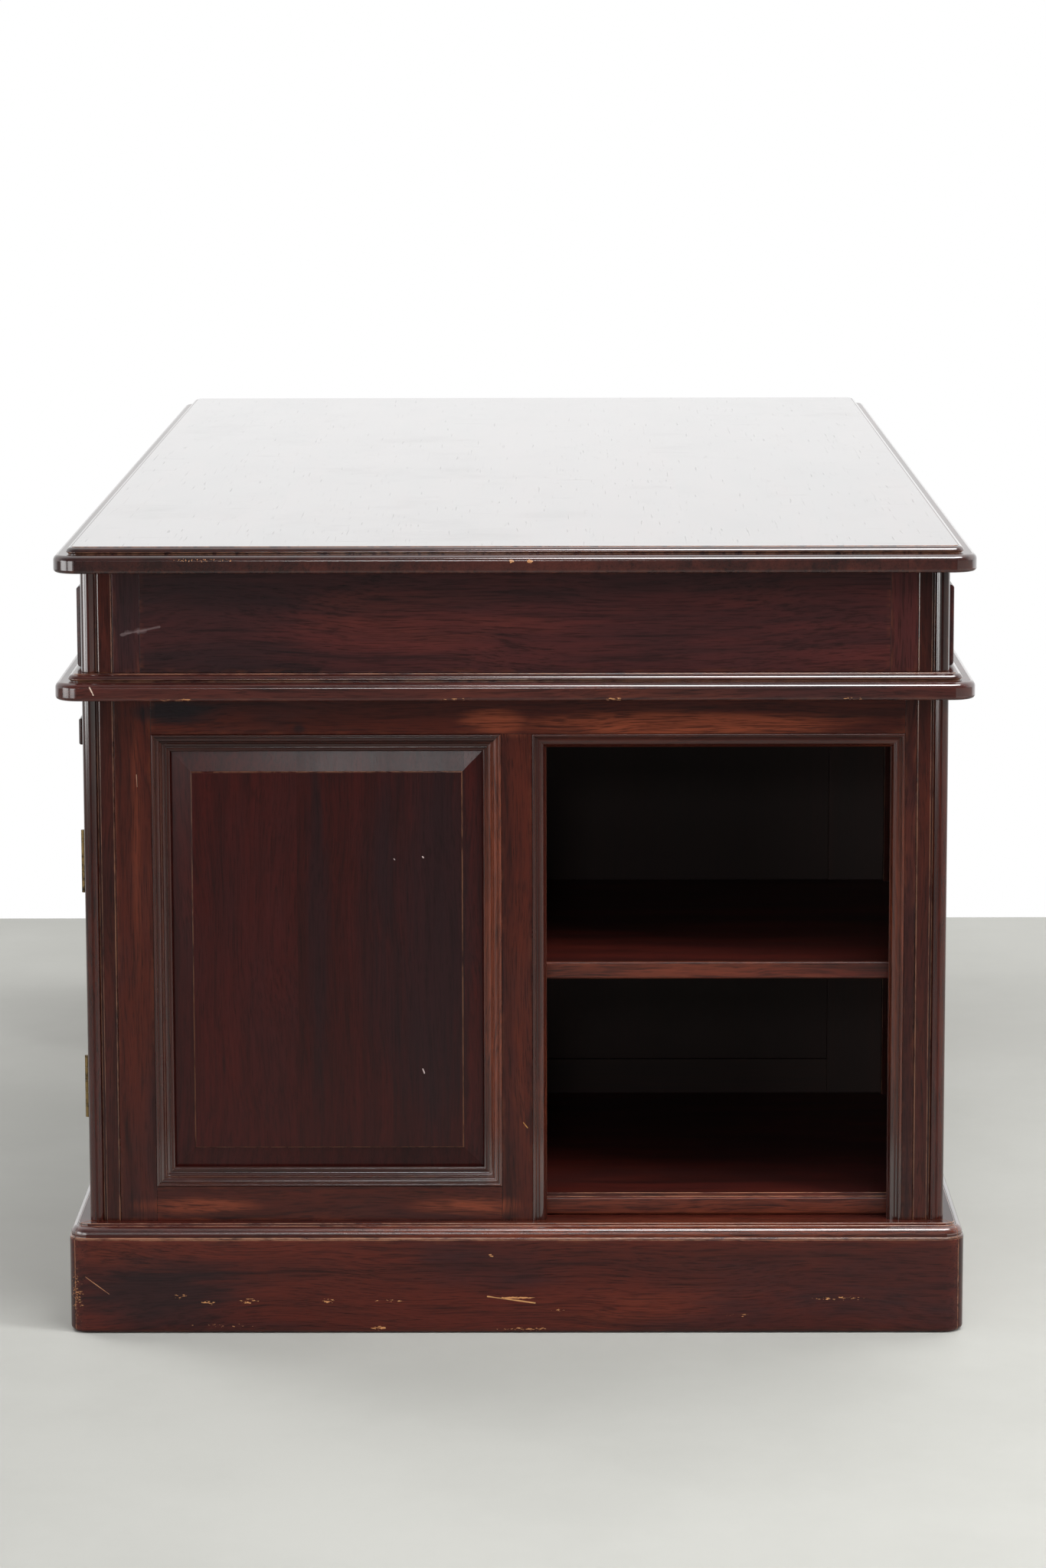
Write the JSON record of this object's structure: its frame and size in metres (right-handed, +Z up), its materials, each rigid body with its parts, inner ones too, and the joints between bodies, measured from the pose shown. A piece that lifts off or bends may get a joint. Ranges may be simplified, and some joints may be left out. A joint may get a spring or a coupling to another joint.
{
  "type": "partners desk",
  "caption": "Pedestal partners desk with a moulded top, drawers and a pull-out slide on both long sides, panelled cupboards and open end niches.",
  "frame": {"origin": "on the floor, in the middle of the desk", "axes": "+X along the desk towards the end whose cupboard door is on -Y, +Y across it, +Z up"},
  "size_m": [1.8, 0.9, 0.786],
  "materials": {
    "mahogany": "polished dark red-brown, worn at the edges",
    "mahogany_panel": "polished dark red-brown, upright grain",
    "mahogany_top": "high polish with fine scratches",
    "oak": "unpolished, aged",
    "brass": "dull, aged"
  },
  "bodies": {
    "carcass": {"frieze_end_left": "mahogany", "frieze_end_right": "mahogany", "frieze_floor": "oak", "frieze_partitions": "oak", "frieze_posts": "mahogany", "frieze_rails": "mahogany", "left_cupboard_shelf": "oak", "left_divider": "mahogany", "left_end_frame": "mahogany", "left_end_mouldings": "mahogany", "left_end_panel": "mahogany_panel", "left_floor": "mahogany", "left_hinge_post_halves": "brass", "left_knee_frame": "mahogany", "left_knee_panels": "mahogany_panel", "left_niche_shelf": "mahogany", "left_plinth": "mahogany", "left_posts": "mahogany", "left_side_frame": "mahogany", "left_side_panel": "mahogany_panel", "left_slide_case": "oak", "left_waist_slab": "mahogany", "right_cupboard_shelf": "oak", "right_divider": "mahogany", "right_end_frame": "mahogany", "right_end_mouldings": "mahogany", "right_end_panel": "mahogany_panel", "right_floor": "mahogany", "right_hinge_post_halves": "brass", "right_knee_frame": "mahogany", "right_knee_panels": "mahogany_panel", "right_niche_shelf": "mahogany", "right_plinth": "mahogany", "right_posts": "mahogany", "right_side_frame": "mahogany", "right_side_panel": "mahogany_panel", "right_slide_case": "oak", "right_waist_slab": "mahogany", "top": "mahogany_top"},
    "right_door": {"right_door_frame": "mahogany", "right_door_panel": "mahogany_panel", "right_hinge_door_halves": "brass"},
    "right_slide": {"right_slide": "mahogany"},
    "left_door": {"left_door_frame": "mahogany", "left_door_panel": "mahogany_panel", "left_hinge_door_halves": "brass"},
    "left_slide": {"left_slide": "mahogany"},
    "front_drawer_left": {"front_drawer_left_front": "mahogany", "front_drawer_left_box": "oak"},
    "front_drawer_middle": {"front_drawer_middle_front": "mahogany", "front_drawer_middle_box": "oak"},
    "front_drawer_right": {"front_drawer_right_front": "mahogany", "front_drawer_right_box": "oak"},
    "back_drawer_left": {"back_drawer_left_front": "mahogany", "back_drawer_left_box": "oak"},
    "back_drawer_middle": {"back_drawer_middle_front": "mahogany", "back_drawer_middle_box": "oak"},
    "back_drawer_right": {"back_drawer_right_front": "mahogany", "back_drawer_right_box": "oak"}
  },
  "joints": [
    {"name": "right_door_hinge", "type": "hinge", "parent": "carcass", "child": "right_door", "pos_m": [0.843, -0.4278, 0.3], "axis": [0, 0, 1], "range_deg": [0, 170]},
    {"name": "right_slide_pull", "type": "slide", "parent": "carcass", "child": "right_slide", "axis": [0, -1, 0], "range_m": [0, 0.28]},
    {"name": "left_door_hinge", "type": "hinge", "parent": "carcass", "child": "left_door", "pos_m": [-0.843, 0.4278, 0.3], "axis": [0, 0, 1], "range_deg": [0, 170]},
    {"name": "left_slide_pull", "type": "slide", "parent": "carcass", "child": "left_slide", "axis": [0, 1, 0], "range_m": [0, 0.28]},
    {"name": "front_drawer_left_pull", "type": "slide", "parent": "carcass", "child": "front_drawer_left", "axis": [0, -1, 0], "range_m": [0, 0.3]},
    {"name": "front_drawer_middle_pull", "type": "slide", "parent": "carcass", "child": "front_drawer_middle", "axis": [0, -1, 0], "range_m": [0, 0.3]},
    {"name": "front_drawer_right_pull", "type": "slide", "parent": "carcass", "child": "front_drawer_right", "axis": [0, -1, 0], "range_m": [0, 0.3]},
    {"name": "back_drawer_left_pull", "type": "slide", "parent": "carcass", "child": "back_drawer_left", "axis": [0, 1, 0], "range_m": [0, 0.3]},
    {"name": "back_drawer_middle_pull", "type": "slide", "parent": "carcass", "child": "back_drawer_middle", "axis": [0, 1, 0], "range_m": [0, 0.3]},
    {"name": "back_drawer_right_pull", "type": "slide", "parent": "carcass", "child": "back_drawer_right", "axis": [0, 1, 0], "range_m": [0, 0.3]}
  ]
}
